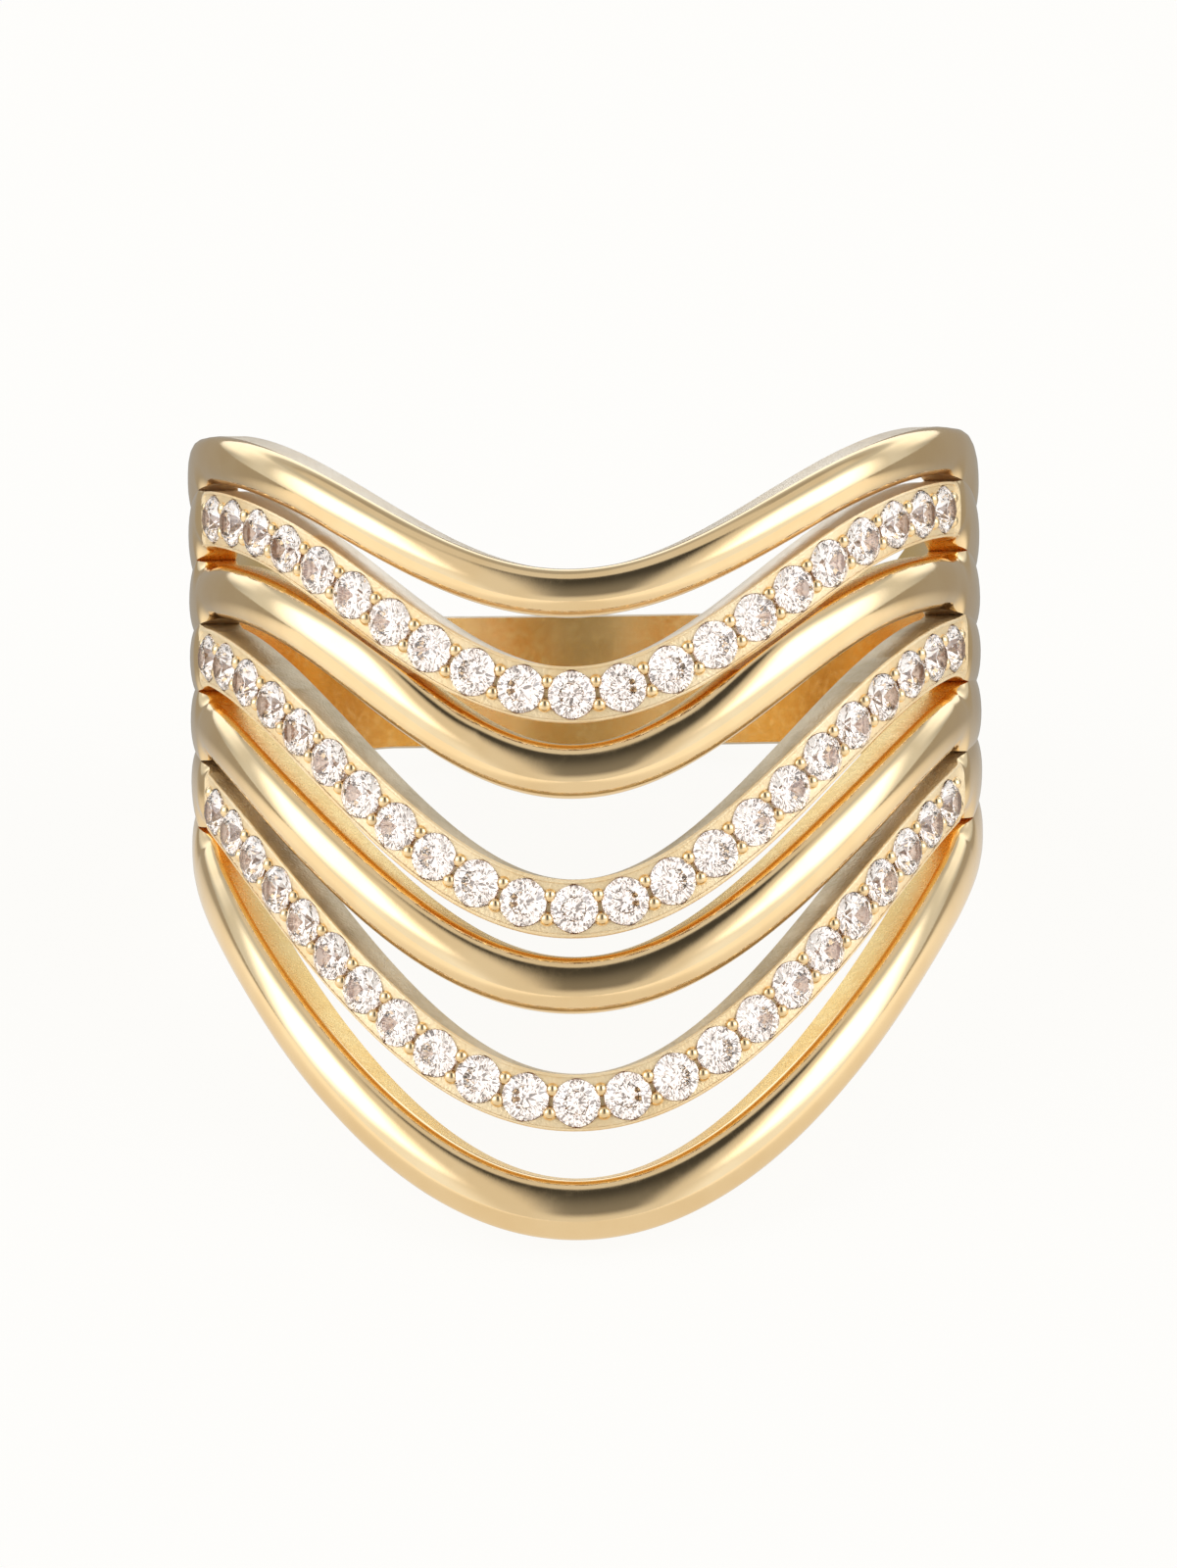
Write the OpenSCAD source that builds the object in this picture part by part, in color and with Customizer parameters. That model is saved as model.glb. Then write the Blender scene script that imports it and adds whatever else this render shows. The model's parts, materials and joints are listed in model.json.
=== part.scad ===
/* [Finger hole] */
// Inner diameter of the ring
finger_d = 18.1; // [15:0.1:23]

/* [Bands] */
// Radial depth of a plain band from the finger hole to its crown
plain_depth = 1.3; // [1.2:0.05:1.6]
// Radial depth of a stone-set band from the finger hole to its rims
set_depth = 1; // [0.9:0.05:1.3]
// Height of the rounded top of a plain band
dome_h = 0.5; // [0.2:0.05:0.8]
// How much lower the crowns of the bands are at the sides than at the front
side_sink = 0.15; // [0:0.05:0.2]
// Angle from the front at which the bands start to widen into ribs
rib_from = 71; // [66:1:74]
// Angle from the front at which the ribs have their full width
rib_full = 83; // [80:1:88]

/* [Shank] */
// Width of the shank at the back
shank_w = 3.7; // [3:0.1:5]
// Height of the middle of the shank over the middle of the sides
shank_z = -0.65; // [-1.2:0.05:0]
// Radial depth of the shank at its crown
shank_depth = 1.15; // [1:0.05:1.5]
// Radial depth of the shank at its edges
shank_edge_depth = 0.6; // [0.4:0.05:0.8]
// Angle from the front at which the sides start to draw together
draw_from = 68; // [60:1:72]
// Angle from the front at which the sides have drawn together
draw_to = 145; // [130:1:160]
// Angle from the front at which the ribs start to sink into the shank
fade_from = 90; // [86:1:95]
// Angle from the front at which the ribs have sunk into the shank
fade_to = 124; // [118:1:130]

/* [Stones] */
// Diameter of a stone
stone_d = 1.18; // [1:0.01:1.2]
// Distance between neighbouring stones along a row
stone_pitch = 1.31; // [1.31:0.01:1.4]
// Height of a stone above its girdle
crown_h = 0.18; // [0.12:0.01:0.24]
// Thickness of the girdle
girdle_h = 0.05; // [0.03:0.01:0.08]
// Depth of a stone below its girdle
pavilion_h = 0.5; // [0.4:0.01:0.52]
// Gap between a stone and the metal
stone_gap = 0.03; // [0.02:0.01:0.05]
// Radius of the head of a setting bead
bead_r = 0.17; // [0.12:0.01:0.19]

/* [Hidden] */

finger_r = finger_d / 2;
plain_r = finger_r + plain_depth;
set_r = finger_r + set_depth;
shank_r = finger_r + shank_depth;
shank_edge_r = finger_r + shank_edge_depth;
path_r = finger_r + 1.15; // radius on which the waves are laid out
buried = 0.1;             // how far a band is drawn inside the finger hole, and cut off again

// The bands from the top down: height at the sides, height at the front, how sharply the wave dips,
// width at the front, width as a rib at the sides, and stones on each side of the middle one,
// which is 0 for a plain band
SIDE_Z = 0;
TIP_Z = 1;
SHARPNESS = 2;
FRONT_W = 3;
RIB_W = 4;
STONES = 5;
BANDS = [
    [ 5.00,   1.32, 4.20, 1.20, 1.6,  0],
    [ 3.50,  -1.20, 4.40, 1.40, 2.1, 10],
    [ 1.62,  -3.10, 4.80, 1.35, 2.1,  0],
    [ 0.05,  -6.50, 3.50, 1.45, 2.1, 11],
    [-1.75,  -8.40, 2.75, 1.40, 2.1,  0],
    [-3.45, -11.30, 2.65, 1.40, 2.1, 11],
    [-5.25, -13.95, 2.00, 1.50, 1.7,  0],
];
upper_row = BANDS[1];
middle_row = BANDS[3];
lower_row = BANDS[5];
lowest_band = BANDS[6];

// Half the width of the ring at its sides, before the sides draw together
side_half_w = BANDS[0][SIDE_Z] + BANDS[0][RIB_W] / 2;

// A step from 0 at one value to 1 at the other, level at both ends
function ease(x, from, to) =
    let (t = min(1, max(0, (x - from) / (to - from)))) t * t * (3 - 2 * t);

// How far the sides have drawn together, as a share of their full width
function draw(a) = 1 - (1 - shank_w / 2 / side_half_w) * ease(abs(a), draw_from, draw_to);

// Height of the middle of the ring, which comes down from the sides to the shank
function middle(a) = shank_z * ease(abs(a), draw_from, draw_to);

// How far the ribs tuck in where they sink into the shank, so that their ends lie inside it
rib_tuck = 0.1;
function tuck(a) = draw(a) * (1 - rib_tuck * ease(abs(a), fade_from, fade_to));

// Height of a band's centre line at an angle from the front
function wave(band, a) =
    let (dip = pow(max(0, cos(a)), band[SHARPNESS]))
    middle(a) + tuck(a) * (band[SIDE_Z] - (band[SIDE_Z] - band[TIP_Z]) * dip);

// Slope of a band's centre line, as an angle on the unrolled ring
function slope(band, a) = atan2(wave(band, a + 0.5) - wave(band, a - 0.5), path_r * PI / 180);

// A point at an angle, a radius and a height
function on_ring(a, r, z) = [r * sin(a), -r * cos(a), z];

// A point across a band's centre line, at right angles to it on the unrolled ring
function across(band, a, d, r) =
    let (s = slope(band, a))
    on_ring(a - d * sin(s) / path_r * 180 / PI, r, wave(band, a) + d * cos(s));

// Length along a band from the front, and the angle at such a length
function band_length(band) = [
    for (a = 0, s = 0; a <= 90; s = s + path_r * PI / 180 / cos(slope(band, a + 0.5)), a = a + 1) [s, a]
];
function angle_at(lengths, s) = sign(s) * lookup(abs(s), lengths);

// A closed skin over rings of points, one ring for each section, each with the same number of points
function skin_faces(sections, n) = concat(
    [for (j = [1 : n - 2]) [0, j, j + 1]],
    [for (j = [1 : n - 2]) let (b = (sections - 1) * n) [b, b + j + 1, b + j]],
    [for (i = [0 : sections - 2], j = [0 : n - 1], half = [0, 1])
        let (p = i * n + j, q = i * n + (j + 1) % n)
        half == 0 ? [p, p + n, q + n] : [p, q + n, q]]
);
module skin(rings) {
    polyhedron(
        points = [for (ring = rings) each ring],
        faces = skin_faces(len(rings), len(rings[0])),
        convexity = 10
    );
}

// Angles from the front at which a band has a section, on the right side of the ring
front_step = 5;
front_end = 70;
rib_angles = [73, 78, 82, 87, 93, 100, 108, 116, fade_to];
closed_at = 0.6;  // angle past the end of a row of stones at which its channel has closed
rounded_at = 3.5; // angle past the end of a row at which its band has become a rounded rib

function row_end(band) = angle_at(band_length(band), (band[STONES] + 0.5) * stone_pitch);
function plain_stations() = concat([for (a = [0 : front_step : front_end]) a], rib_angles);
function set_stations(end) = concat(
    [for (a = [0 : front_step : end - 1]) a],
    [end, end + closed_at, end + rounded_at],
    [for (a = rib_angles) if (a > end + rounded_at + 0.5) a]
);
function both_sides(right) = concat([for (i = [len(right) - 1 : -1 : 1]) -right[i]], right);

// Sections of the bands, as distances across and radii, from the inside to the top
dome_angles = [0, 25, 55, 90, 125, 155, 180];
thin_from = 45;                                   // angles between which the crowns come down to the sides
thin_to = 80;
sunk_r = finger_r + 0.4;                          // crown of a rib where it ends, inside the shank
rim_bevel = 0.05;                                 // bevel along the rims of a stone-set band
channel_w = stone_d + 2 * stone_gap;
girdle_r = set_r - 0.05;                          // radius on which the girdles lie
channel_r = girdle_r - pavilion_h - stone_gap;    // bottom of the stones' channel

function half_width(band, a) =
    tuck(a) / 2 * (band[FRONT_W] + (band[RIB_W] - band[FRONT_W]) * ease(abs(a), rib_from, rib_full));
function dome(w, a) =
    let (
        free_crown = plain_r - side_sink * ease(abs(a), thin_from, thin_to),
        crown = free_crown - (free_crown - sunk_r) * ease(abs(a), fade_from, fade_to)
    )
    [for (t = dome_angles) [w * cos(t), crown - dome_h * (1 - sin(t))]];
function open_channel(w) =
    let (c = channel_w / 2)
    [[w, set_r - rim_bevel], [c, set_r], [c, channel_r], [0, channel_r],
     [-c, channel_r], [-c, set_r], [-w, set_r - rim_bevel]];
function closed_channel(w) = [for (p = open_channel(w)) [p[0], max(p[1], set_r - rim_bevel)]];

function band_top(band, w, a, end) =
    band[STONES] == 0 ? dome(w, a)
        : abs(a) <= end + 0.01 ? open_channel(w)
        : let (flat = closed_channel(w), round = dome(w, a),
               share = ease(abs(a), end + closed_at, end + rounded_at))
          [for (i = [0 : len(flat) - 1]) flat[i] * (1 - share) + round[i] * share];
function band_section(band, a, end) =
    let (w = half_width(band, a), inside = finger_r - buried)
    [for (p = concat([[-w, inside], [w, inside]], band_top(band, w, a, end))) across(band, a, p[0], p[1])];

module plain_band(band) {
    skin([for (a = both_sides(plain_stations())) band_section(band, a, 0)]);
}
module set_band(band) {
    end = row_end(band);
    skin([for (a = both_sides(set_stations(end))) band_section(band, a, end)]);
    beads(band);
}

// Puts its children on a band at a length from the front: Z outwards and X along the band
module along_band(band, lengths, s, r) {
    a = angle_at(lengths, s);
    rotate([0, 0, a])
        translate([0, -r, wave(band, a)])
            rotate([90, 0, slope(band, a)])
                children();
}

// Between neighbouring stones a low bar joins two beads, one against each rim
bar_w = 0.07;                          // width of the bar, clear of the stones' girdles
bar_reach = 0.25;                      // distance across from the centre line to where the beads start
bead_reach = channel_w / 2 + 0.04;
bead_h = 0.16;                         // height of the beads over the girdles
function bead_section(band, lengths, s, d, w, top_r) =
    let (
        left = angle_at(lengths, s - w / 2),
        right = angle_at(lengths, s + w / 2),
        low_r = channel_r - buried
    )
    [across(band, left, d, low_r), across(band, left, d, top_r),
     across(band, right, d, top_r), across(band, right, d, low_r)];
module beads(band) {
    lengths = band_length(band);
    for (i = [-band[STONES] : band[STONES] - 1]) {
        s = (i + 0.5) * stone_pitch;
        skin([
            bead_section(band, lengths, s, -bead_reach, 2 * bead_r, girdle_r + bead_h),
            bead_section(band, lengths, s, -bar_reach, bar_w, girdle_r),
            bead_section(band, lengths, s, bar_reach, bar_w, girdle_r),
            bead_section(band, lengths, s, bead_reach, 2 * bead_r, girdle_r + bead_h),
        ]);
    }
}

// The shank from one side round the back to the other, rounded outside
shank_from = 80;
shank_step = 7;
shank_inset = 0.25; // how far the shank's edges lie inside the outermost ribs
shank_sink = 0.15;  // how far the shank's crown lies lower at the sides, under the ribs
risen_at = 114;     // angle from the front at which the shank's crown has its full height
shank_profile = [1, 0.92, 0.72, 0.4, 0, -0.4, -0.72, -0.92, -1];
function shank_section(a) =
    let (
        w = (side_half_w - shank_inset) * draw(a),
        inside = finger_r - 2 * buried,
        crown = shank_r - shank_sink * (1 - ease(abs(a), shank_from, risen_at))
    )
    concat(
        [on_ring(a, inside, middle(a) - w), on_ring(a, inside, middle(a) + w)],
        [for (t = shank_profile)
            on_ring(a, shank_edge_r + (crown - shank_edge_r) * sqrt(1 - t * t), middle(a) + t * w)]
    );
shank_rings = [for (a = [shank_from : shank_step : 360 - shank_from]) shank_section(a > 180 ? a - 360 : a)];

// All the metal is one casting, bored for the finger
bore_reach = 30;
bore_seam = 50; // angle from the front at which the round hole's seam runs down
module casting() {
    difference() {
        resize([0, 0, 0]) union() {
            for (band = BANDS) {
                if (band[STONES] == 0) {
                    plain_band(band);
                } else {
                    set_band(band);
                }
            }
            skin(shank_rings);
        }
        translate([0, 0, -bore_reach])
            rotate([0, 0, bore_seam - 90])
                cylinder(h = 2 * bore_reach, r = finger_r, $fn = 192);
    }
}

// A round stone: an eight-sided table, sixteen crown facets, a girdle and eight facets down to a point
stone_sides = 8;
table_share = 0.6;
function stone_ring(r, z, turn) =
    [for (i = [0 : stone_sides - 1]) let (a = (i + turn) * 360 / stone_sides) [r * cos(a), r * sin(a), z]];
stone_points = concat(
    stone_ring(stone_d / 2 * table_share, girdle_h + crown_h, 0.5),
    stone_ring(stone_d / 2, girdle_h, 0),
    stone_ring(stone_d / 2, 0, 0),
    [[0, 0, -pavilion_h + girdle_h]]
);
stone_faces = concat(
    [[for (i = [stone_sides - 1 : -1 : 0]) i]],
    [for (i = [0 : stone_sides - 1], facet = [0 : 3])
        let (
            next = (i + 1) % stone_sides,
            table = i,
            table_next = next,
            top = stone_sides + i,
            top_next = stone_sides + next,
            low = 2 * stone_sides + i,
            low_next = 2 * stone_sides + next,
            culet = 3 * stone_sides
        )
        facet == 0 ? [table, top_next, top]
            : facet == 1 ? [table, table_next, top_next]
            : facet == 2 ? [top, top_next, low_next, low]
            : [low, low_next, culet]]
);
module stone() {
    polyhedron(points = stone_points, faces = stone_faces, convexity = 2);
}
module stone_row(band) {
    lengths = band_length(band);
    for (i = [-band[STONES] : band[STONES]])
        along_band(band, lengths, i * stone_pitch, girdle_r)
            stone();
}

// The ring lies as it rests by itself: on the front tip's inner edge and the lower edge of the shank
tip_contact = [-finger_r, lowest_band[TIP_Z] - lowest_band[FRONT_W] / 2];
back_contacts = [for (p = shank_section(180)) if (p.z < middle(180)) [p.y, p.z]];
function height(p, lean) = p[1] * cos(lean) - p[0] * sin(lean);
function back_contact(lean) =
    [for (p = back_contacts) if (height(p, lean) == min([for (q = back_contacts) height(q, lean)])) p][0];
function settle(lean, turns) =
    turns == 0 ? lean
        : let (p = back_contact(lean)) settle(atan2(p[1] - tip_contact[1], p[0] - tip_contact[0]), turns - 1);
rest_lean = settle(30, 4);
rest_drop = -height(tip_contact, rest_lean);

// Middle of the resting ring from front to back
function depth(p) = p.y * cos(rest_lean) + p.z * sin(rest_lean);
front_y = min([for (a = [0 : front_step : front_end], p = band_section(lowest_band, a, 0)) depth(p)]);
back_y = max([for (ring = shank_rings, p = ring) depth(p)]);

module at_rest() {
    translate([0, -(front_y + back_y) / 2, rest_drop])
        rotate([-rest_lean, 0, 0])
            children();
}

module ring_metal() {
    color("#dcb878")
        at_rest() casting();
}
module stones_upper() {
    color("#f6ece8")
        at_rest() stone_row(upper_row);
}
module stones_middle() {
    color("#f6ece8")
        at_rest() stone_row(middle_row);
}
module stones_lower() {
    color("#f6ece8")
        at_rest() stone_row(lower_row);
}

ring_metal();
stones_upper();
stones_middle();
stones_lower();
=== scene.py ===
# %% [markdown]
# # A gold ring of seven waves with three rows of cut stones
# The ring is one casting: seven bands that dip in a V across the finger, flow together at the sides and
# end in a plain shank. Four bands are plain and polished, three carry rows of small round stones.
#
# The imported model is loaded first. It fixes where everything is, and it is never moved.

# %% Load the fixed frame
import json
from collections import namedtuple
from math import atan2, cos, degrees, pi, radians, sin, sqrt

import bmesh
import bpy
from mathutils import Matrix, Vector


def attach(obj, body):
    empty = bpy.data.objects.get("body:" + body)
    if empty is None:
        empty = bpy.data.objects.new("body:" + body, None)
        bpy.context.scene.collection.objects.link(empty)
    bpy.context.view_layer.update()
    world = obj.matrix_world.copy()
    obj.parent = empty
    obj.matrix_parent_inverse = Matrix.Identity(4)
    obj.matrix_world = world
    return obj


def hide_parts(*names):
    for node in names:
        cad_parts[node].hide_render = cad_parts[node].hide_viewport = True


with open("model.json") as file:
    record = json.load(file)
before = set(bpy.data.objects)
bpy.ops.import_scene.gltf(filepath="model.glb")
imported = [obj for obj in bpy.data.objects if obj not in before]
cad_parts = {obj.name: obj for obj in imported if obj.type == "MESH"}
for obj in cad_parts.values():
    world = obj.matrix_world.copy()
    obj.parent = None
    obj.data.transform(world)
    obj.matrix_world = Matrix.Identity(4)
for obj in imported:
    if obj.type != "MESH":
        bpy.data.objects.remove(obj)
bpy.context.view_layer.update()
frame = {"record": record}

# %% [markdown]
# ## Upright and resting
# The ring is drawn upright, in millimetres, with the finger hole along Z and the dips of the waves at -Y.
# The real ring doesn't stay upright: it tips back until it rests on its front tip and the back of its
# shank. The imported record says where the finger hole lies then, so the matrix from the upright ring to the
# resting one is read from it, and every piece goes through that matrix once, at the end.

# %% From the upright ring to the resting one
finger_hole = next(m for m in frame["record"]["mounts"] if m["name"] == "finger_bore")
FINGER_R = finger_hole["dims"]["r_mm"]
LEAN = atan2(finger_hole["axis"][1], finger_hole["axis"][2])
MM = 0.001
LIE_DOWN = (
    Matrix.Translation(finger_hole["pos_m"])
    @ Matrix.Rotation(-LEAN, 4, "X")
    @ Matrix.Scale(MM, 4)
)
print("the ring leans back by", round(degrees(LEAN), 1), "degrees")

# %% [markdown]
# ## Sizes
# The bands have the heights, widths and dips that the solids were made from. A band's centre line is a wave
# round the finger: high at the sides, low at the front, and the sharper the dip, the more the wave looks
# like a V. The radii are a few hundredths of a millimetre smaller than the solids', because the sections
# here are rounder, and a rounder section would otherwise stand out of the solids' box.

# %% Sizes of the bands, in millimetres and degrees
Band = namedtuple("Band", "name side_z tip_z sharpness front_w rib_w stones")
BANDS = [
    Band("top", 5.00, 1.32, 4.20, 1.20, 1.6, 0),
    Band("upper_set", 3.50, -1.20, 4.40, 1.40, 2.1, 10),
    Band("high", 1.62, -3.10, 4.80, 1.35, 2.1, 0),
    Band("middle_set", 0.05, -6.50, 3.50, 1.45, 2.1, 11),
    Band("low", -1.75, -8.40, 2.75, 1.40, 2.1, 0),
    Band("lower_set", -3.45, -11.30, 2.65, 1.40, 2.1, 11),
    Band("bottom", -5.25, -13.95, 2.00, 1.50, 1.7, 0),
]
PLAIN_R = FINGER_R + 1.28      # crown of a plain band
SET_R = FINGER_R + 1.0         # rims of a stone-set band
PATH_R = FINGER_R + 1.15       # radius on which lengths along a band are measured
SIDE_SINK = 0.15               # how much lower the crowns are at the sides than at the front
THIN_FROM, THIN_TO = 45, 80    # angles from the front between which they come down
RIB_FROM, RIB_FULL = 71, 83    # between which the bands widen into ribs
DRAW_FROM, DRAW_TO = 68, 145   # between which the sides draw together
FADE_FROM, FADE_TO = 90, 124   # between which the ribs sink into the shank
SIDE_HALF_W = BANDS[0].side_z + BANDS[0].rib_w / 2
print("the ring is", round(2 * PLAIN_R, 2), "mm across outside at the front,")
print("and", 2 * SIDE_HALF_W, "mm high at the sides")

# %% Sizes of the shank
SHANK_W = 3.7
SHANK_Z = -0.65                # middle of the shank, below the middle of the sides
SHANK_R = FINGER_R + 1.13      # its crown
SHANK_EDGE_R = FINGER_R + 0.56
SHANK_INSET = 0.32             # taken off the side's half width where the rounded shank begins
print("the shank is", round(SHANK_R - FINGER_R, 2), "mm thick in its middle")

# %% Sizes of the stones and their channels
STONE_D, STONE_PITCH = 1.18, 1.31
CROWN_H, GIRDLE_H, PAVILION_H = 0.18, 0.05, 0.5
STONE_GAP = 0.03
CHANNEL_W = STONE_D + 2 * STONE_GAP
GIRDLE_R = SET_R - 0.05
CHANNEL_R = GIRDLE_R - PAVILION_H - STONE_GAP
print("the channels are", round(SET_R - CHANNEL_R, 2), "mm deep")

# %% [markdown]
# ## The wave of a band
# One power of the cosine gives the dip. Seen along the ring a band has its full width square to its own
# slope, and its stones follow each other at one pitch along it, so lengths are measured on the wave itself
# and not round the finger.

# %% Height and slope of a band


def mix(a, b, share):
    return a + (b - a) * share


def ease(x, start, end):
    t = min(1, max(0, (x - start) / (end - start)))
    return t * t * (3 - 2 * t)


def draw(a):
    """How far the sides have drawn together at an angle from the front, as a share of their width."""
    return 1 - (1 - SHANK_W / 2 / SIDE_HALF_W) * ease(abs(a), DRAW_FROM, DRAW_TO)


def middle(a):
    """Height of the middle of the ring's side, which comes down towards the shank."""
    return SHANK_Z * ease(abs(a), DRAW_FROM, DRAW_TO)


def wave(band, a):
    dip = max(0, cos(radians(a))) ** band.sharpness
    return middle(a) + draw(a) * (band.side_z - (band.side_z - band.tip_z) * dip)


def slope(band, a):
    return atan2(wave(band, a + 0.5) - wave(band, a - 0.5), radians(1) * PATH_R)


def half_width(band, a):
    return draw(a) / 2 * mix(band.front_w, band.rib_w, ease(abs(a), RIB_FROM, RIB_FULL))


print("a flank of the lowest wave climbs at up to",
      round(max(degrees(slope(BANDS[-1], a)) for a in range(90))), "degrees")

# %% Lengths along a band


def lengths_of(band):
    """Length along a band from the front, for each degree of the way round."""
    lengths = [0]
    for a in range(90):
        lengths.append(lengths[-1] + radians(1) * PATH_R / cos(slope(band, a + 0.5)))
    return lengths


LENGTHS = {band.name: lengths_of(band) for band in BANDS}


def angle_at(band, s):
    """Angle round the finger at a length along a band."""
    lengths = LENGTHS[band.name]
    a = next(i for i, length in enumerate(lengths) if length > abs(s)) - 1
    part = (abs(s) - lengths[a]) / (lengths[a + 1] - lengths[a])
    return (a + part) * (1 if s > 0 else -1)


def on_ring(a, r, z):
    return Vector((r * sin(radians(a)), -r * cos(radians(a)), z))


def across(band, a, d, r):
    """A point at a distance across a band's centre line, square to it on the unrolled ring."""
    s = slope(band, a)
    return on_ring(a - degrees(d * sin(s) / PATH_R), r, wave(band, a) + d * cos(s))


ROW_END = {b.name: angle_at(b, (b.stones + 0.5) * STONE_PITCH) for b in BANDS if b.stones}
print("the rows of stones end at", {name: round(a, 1) for name, a in ROW_END.items()}, "degrees")

# %% [markdown]
# ## The casting
# All seven bands have the same number of points in their section, so the whole ring can be one clean mesh
# of quads: seven sections stacked in a column are spun once round the finger, and then each vertex moves
# to its place on its band. A Boolean union of seven solids would give the same shape, but with slivers
# along every seam, and polished gold shows a sliver as a crease in its reflections.
#
# In the column a vertex's height is only its number, and its angle only the number of its station. The
# functions below turn both into a place. Where two bands touch, their edges get the same place, so that
# merging doubles welds them, and the walls between them are deleted.

# %% Stations round the ring, close together at the front
FRONT_STEP = 0.4
BACK_STEP = 1.5
FINE_TO = 96
front_stations = [i * FRONT_STEP for i in range(int(FINE_TO / FRONT_STEP))]
back_stations = [FINE_TO + i * BACK_STEP for i in range(int((180 - FINE_TO) / BACK_STEP) + 1)]
right_side = front_stations + back_stations
STATIONS = right_side + [-a for a in reversed(right_side[1:-1])]
print(len(STATIONS), "stations")

# %% The points of a section
TOP_PLACES = [cos(radians(t)) for t in range(0, 181, 15)]    # places across a top, 1 to -1
TOPS = len(TOP_PLACES)
LOW_WALL, LOW_CORNER, UP_CORNER, UP_WALL = range(TOPS, TOPS + 4)
PER_BAND = TOPS + 4
print(PER_BAND, "points in the section of a band,", TOPS, "of them across its top")

# %% [markdown]
# ### Where the bands touch
# The bands are apart at the front and meet at the sides, each pair at its own angle. Where two of them
# would overlap, both end halfway. A gap that narrows rises to the bottom of the groove between two ribs
# before it shuts, so the groove doesn't start with a step.

# %% Edges of the bands at each station
CLOSING = 0.35         # a gap narrower than this starts to rise to the groove
Edges = namedtuple("Edges", "tops bottoms gaps centres tilts")


def edges_at(a):
    """Upper and lower edge and centre of each band at an angle, and how open each gap between them is."""
    centres = [wave(band, a) for band in BANDS]
    tilts = [cos(slope(band, a)) for band in BANDS]
    reaches = [half_width(band, a) / tilt for band, tilt in zip(BANDS, tilts)]
    tops = [z + reach for z, reach in zip(centres, reaches)]
    bottoms = [z - reach for z, reach in zip(centres, reaches)]
    gaps = []
    for i in range(len(BANDS) - 1):
        gap = bottoms[i] - tops[i + 1]
        if gap <= 0:
            bottoms[i] = tops[i + 1] = (bottoms[i] + tops[i + 1]) / 2
        gaps.append(max(gap, 0))
    return Edges(tops, bottoms, gaps, centres, tilts)


def shut(gap):
    return 1 - ease(gap, 0, CLOSING)


EDGES = [edges_at(a) for a in STATIONS]
print("gaps at the front, in mm, from the top down:", [round(gap, 2) for gap in EDGES[0].gaps])

# %% [markdown]
# ### The tops of the bands
# A plain band is domed. At the sides it turns into a rib, which is flatter and ends in a groove, while the
# ring's outermost edges are squarer there. A set band has two flat rims with a channel between them, and
# past the last stone it rises into a plain rib again.

# %% Sizes of the tops
DOME_H = 0.5
SIDE_DOME_H = 0.42             # the ring's outermost edges are squarer at its sides
SQUARE_FROM, SQUARE_TO = 50, 78
SQUARE_POWER = 3.2
GROOVE = 0.12                  # depth of the groove between two ribs
GROOVE_SHAPE = 0.85            # how much of a half round a rib's side is where it meets a groove
RIM_BEVEL = 0.05
RIM_LEAST = 0.03               # width of a rim at its narrowest
RUN_OUT = 3.5                  # degrees past its last stone at which a channel has become a rib
CHANNEL_SHAPE = [              # share of the way from the channel's wall to the band's edge, and radius
    (1.0, SET_R - RIM_BEVEL), (0.75, SET_R - 0.012), (0.5, SET_R), (0.15, SET_R),
    (0.0, SET_R - 0.02), (0.0, CHANNEL_R),
]
CHANNEL_EDGE = 4               # the point of these at the upper edge of the channel's wall
print("a rim is", round((BANDS[1].front_w - CHANNEL_W) / 2, 2), "mm wide at the front of the upper row")


# %% The plain and the set top


def drop(t, shutness, squareness):
    """How far a rounded top lies under its crown, t of the way to an edge."""
    q = mix(1, GROOVE_SHAPE, shutness)
    round_part = (1 - sqrt(max(0, 1 - (q * t) ** 2))) / (1 - sqrt(max(0, 1 - q * q)))
    square_part = 1 - max(0, 1 - abs(t) ** SQUARE_POWER) ** (1 / SQUARE_POWER)
    return mix(mix(DOME_H, GROOVE, shutness) * round_part, SIDE_DOME_H * square_part, squareness)


def channel_top(j, side, a, end, reach, tilt, groove_r, shutness):
    """How far from the centre line, and at what radius, point j of a set band's top lies."""
    place = j if side > 0 else TOPS - 1 - j
    out, r = CHANNEL_SHAPE[place] if place < len(CHANNEL_SHAPE) else (-1.0, CHANNEL_R)
    wall = min(CHANNEL_W / 2 / tilt, reach - RIM_LEAST)
    away = 0 if out < 0 else mix(wall, reach, out)
    if abs(a) > end:
        r = max(r, SET_R - RIM_BEVEL)
    if out == 1.0:
        r = mix(r, groove_r, shutness)
    return away, r


def top_point(i, j, station):
    """Height and radius of point j on the top of band i."""
    band, a, edges = BANDS[i], STATIONS[station], EDGES[station]
    t = TOP_PLACES[j]
    side = 1 if t > 0 else -1
    gap_number = i - 1 if side > 0 else i
    outermost = not 0 <= gap_number < len(edges.gaps)
    shutness = 0 if outermost else shut(edges.gaps[gap_number])
    squareness = ease(abs(a), SQUARE_FROM, SQUARE_TO) if outermost else 0
    centre = edges.centres[i]
    reach = edges.tops[i] - centre if side > 0 else centre - edges.bottoms[i]
    crown = PLAIN_R - SIDE_SINK * ease(abs(a), THIN_FROM, THIN_TO)
    z, r = centre + t * reach, crown - drop(t, shutness, squareness)
    if not band.stones:
        return z, r
    end = ROW_END[band.name]
    flat = 1 - ease(abs(a), end + FRONT_STEP, end + RUN_OUT)
    if flat > 0:
        away, flat_r = channel_top(j, side, a, end, reach, edges.tilts[i], crown - GROOVE, shutness)
        z, r = mix(z, centre + side * away, flat), mix(r, flat_r, flat)
        if j in (0, TOPS - 1):
            z = centre + side * reach
    return z, r


print("at the front the top band's crown lies at radius", round(top_point(0, TOPS // 2, 0)[1], 2), "mm")

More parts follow.
